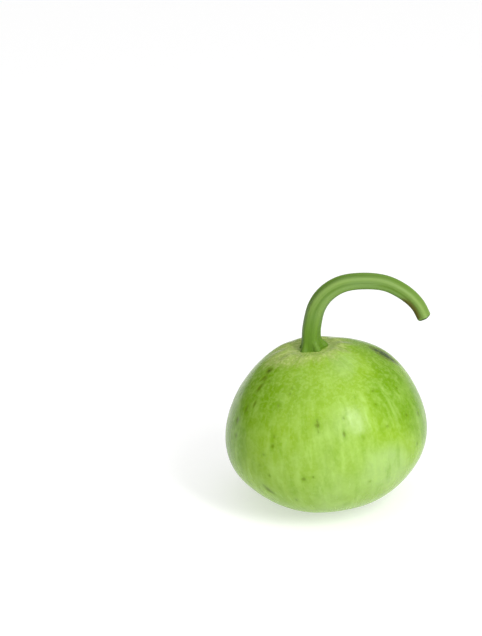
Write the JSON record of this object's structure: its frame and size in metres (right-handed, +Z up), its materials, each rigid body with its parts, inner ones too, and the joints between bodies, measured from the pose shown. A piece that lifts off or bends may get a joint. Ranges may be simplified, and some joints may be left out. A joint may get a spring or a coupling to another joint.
{
  "type": "bottle gourd",
  "caption": "Round young bottle gourd with a thick ridged stem that hooks over to one side, resting on a small flat spot.",
  "frame": {"origin": "middle of the flat spot that the gourd rests on", "axes": "+Z up from the rest spot; +X the way the hooked stem points; -Y the side shown in the picture"},
  "size_m": [0.1292, 0.1294, 0.1514],
  "materials": {
    "skin": "satin, fine-haired light green skin with paler dashes and few dark marks",
    "stem": "matt, ridged fresh green stem"
  },
  "bodies": {
    "root": {"fruit": "skin", "stem": "stem"}
  },
  "joints": []
}
